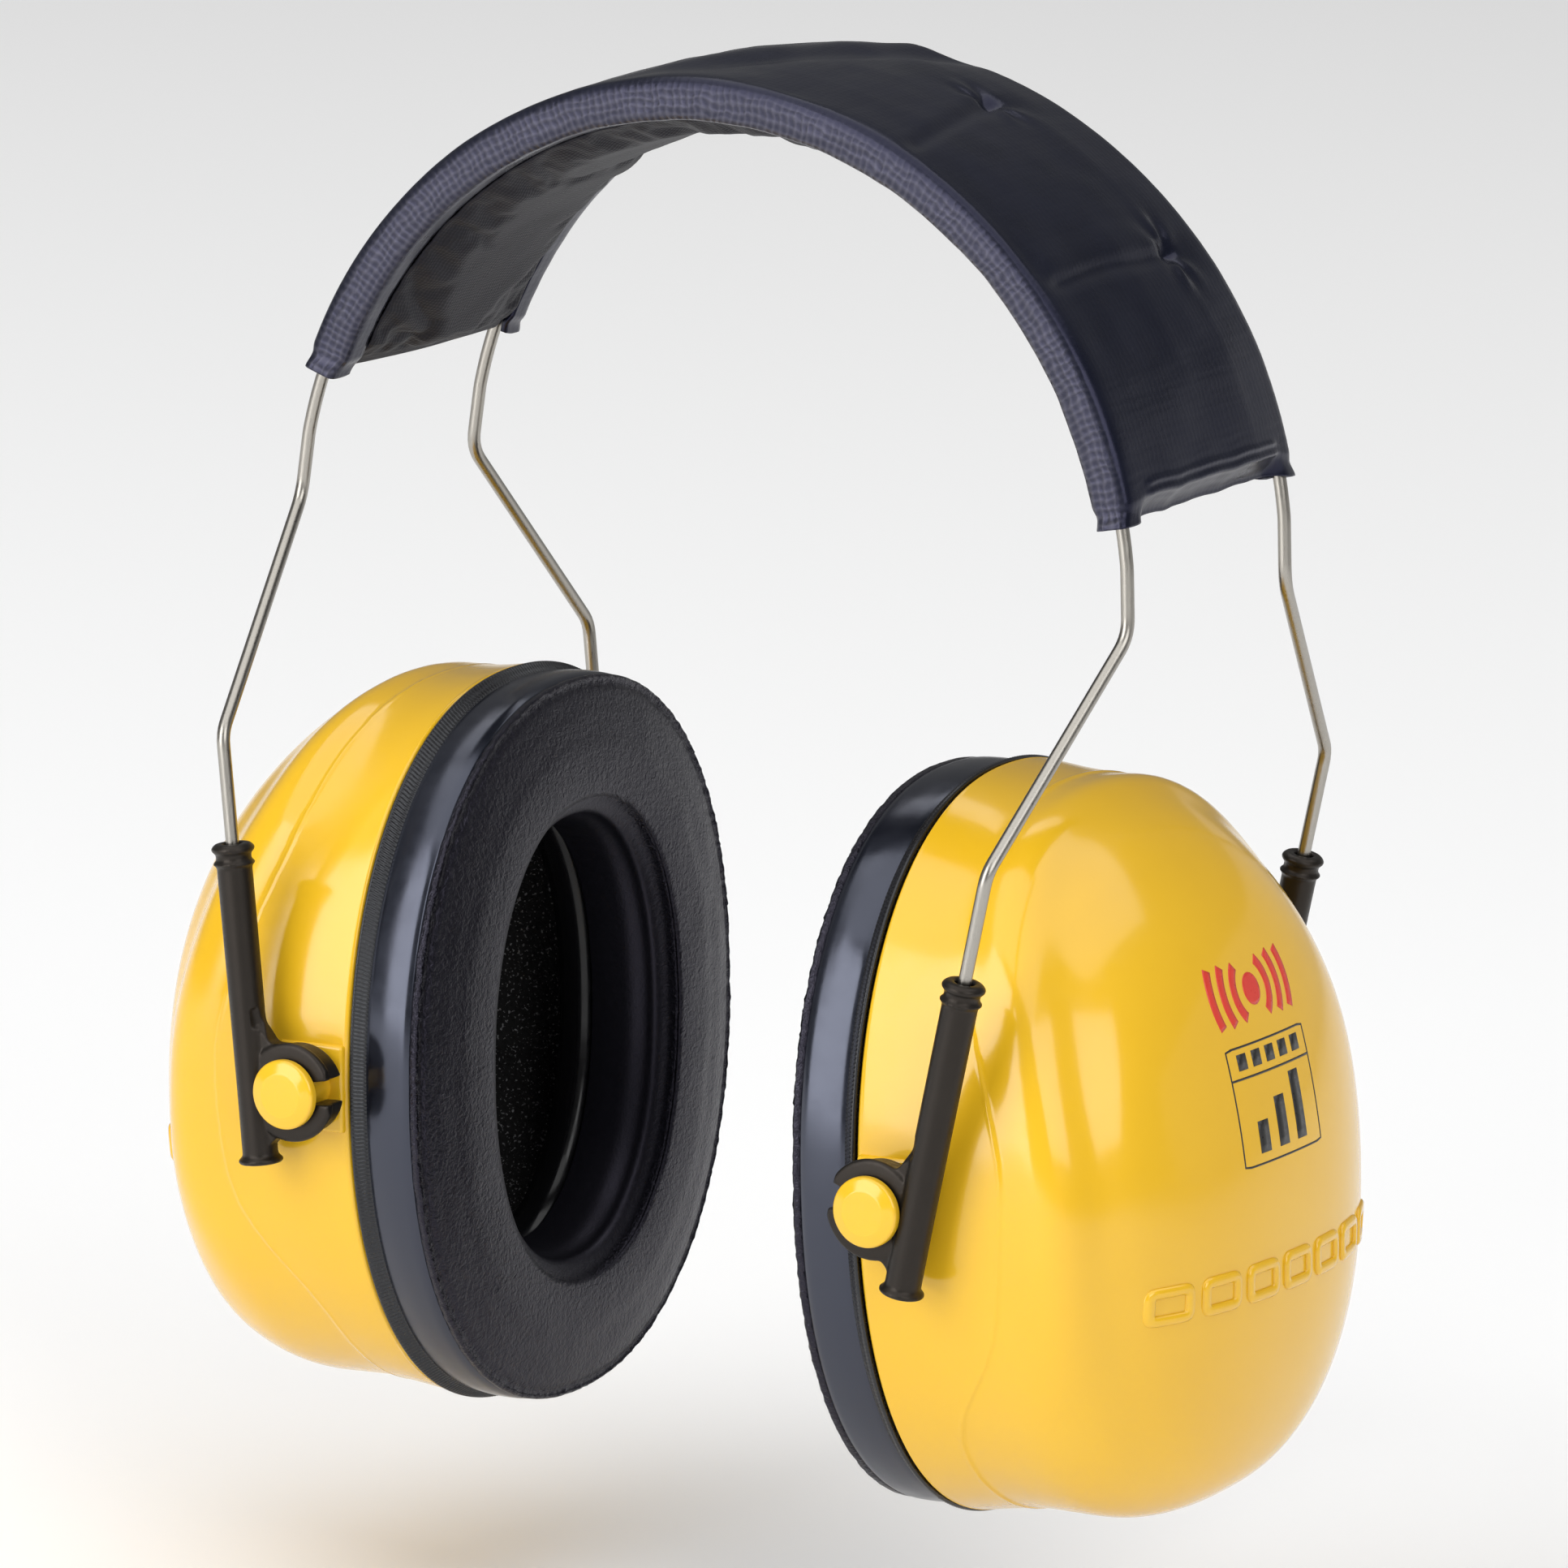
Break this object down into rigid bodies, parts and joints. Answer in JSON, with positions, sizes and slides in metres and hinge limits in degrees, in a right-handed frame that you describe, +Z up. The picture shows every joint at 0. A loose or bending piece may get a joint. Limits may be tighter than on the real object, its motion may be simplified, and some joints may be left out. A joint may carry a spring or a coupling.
{
  "type": "hearing protection earmuffs",
  "caption": "Over-the-head earmuffs: padded two-wire headband, cups that slide on the wires and tilt on studs, oval cushions.",
  "frame": {"origin": "under the middle of the band, where its lining rests on the crown of the head", "axes": "X across the head, +X to the cup on the right when looking along +Y; +Y from front to rear; +Z up"},
  "size_m": [0.1643, 0.1016, 0.191],
  "materials": {
    "yellow_shell": "glossy moulded ABS",
    "steel_wire": "drawn stainless spring wire, satin",
    "black_clamp": "moulded nylon, semi-gloss",
    "band_vinyl": "embossed vinyl sheet, satin",
    "band_lining": "matt vinyl-faced cloth",
    "cushion_side": "moulded soft PVC, smooth",
    "cushion_face": "soft PVC film with a fine grain",
    "inner_plate": "moulded plastic",
    "liner_foam": "open-cell foam",
    "foam": "soft foam"
  },
  "bodies": {
    "headband": {"front_wire": "steel_wire", "rear_wire": "steel_wire", "band_cover": "band_vinyl", "band_lining": "band_lining", "band_pad": "foam"},
    "right_front_clamp": {"right_front_wire_clamp": "black_clamp"},
    "right_rear_clamp": {"right_rear_wire_clamp": "black_clamp"},
    "right_cup": {"right_cup_shell": "yellow_shell", "right_cup_backplate": "inner_plate", "right_cup_foam_liner": "liner_foam", "right_cushion_side_skin": "cushion_side", "right_cushion_face_skin": "cushion_face", "right_cushion_foam": "foam"},
    "left_front_clamp": {"left_front_wire_clamp": "black_clamp"},
    "left_rear_clamp": {"left_rear_wire_clamp": "black_clamp"},
    "left_cup": {"left_cup_shell": "yellow_shell", "left_cup_backplate": "inner_plate", "left_cup_foam_liner": "liner_foam", "left_cushion_side_skin": "cushion_side", "left_cushion_face_skin": "cushion_face", "left_cushion_foam": "foam"}
  },
  "joints": [
    {"name": "right_front_clamp_slide", "type": "slide", "parent": "headband", "child": "right_front_clamp", "axis": [0.1547, 0, 0.988], "range_m": [-0.02, 0.012]},
    {"name": "right_rear_clamp_slide", "type": "slide", "parent": "headband", "child": "right_rear_clamp", "axis": [0.1547, 0, 0.988], "range_m": [-0.02, 0.012]},
    {"name": "right_cup_tilt", "type": "hinge", "parent": "right_front_clamp", "child": "right_cup", "pos_m": [0.0448, 0, -0.1325], "axis": [0, 1, 0], "range_deg": [-15, 25]},
    {"name": "left_front_clamp_slide", "type": "slide", "parent": "headband", "child": "left_front_clamp", "axis": [-0.1547, 0, 0.988], "range_m": [-0.02, 0.012]},
    {"name": "left_rear_clamp_slide", "type": "slide", "parent": "headband", "child": "left_rear_clamp", "axis": [-0.1547, 0, 0.988], "range_m": [-0.02, 0.012]},
    {"name": "left_cup_tilt", "type": "hinge", "parent": "left_front_clamp", "child": "left_cup", "pos_m": [-0.0448, 0, -0.1325], "axis": [0, -1, 0], "range_deg": [-23.5, 16.5]}
  ],
  "couplings": [
    {"joint": "right_rear_clamp_slide", "follows": "right_front_clamp_slide", "ratio": 1},
    {"joint": "left_rear_clamp_slide", "follows": "left_front_clamp_slide", "ratio": 1}
  ]
}
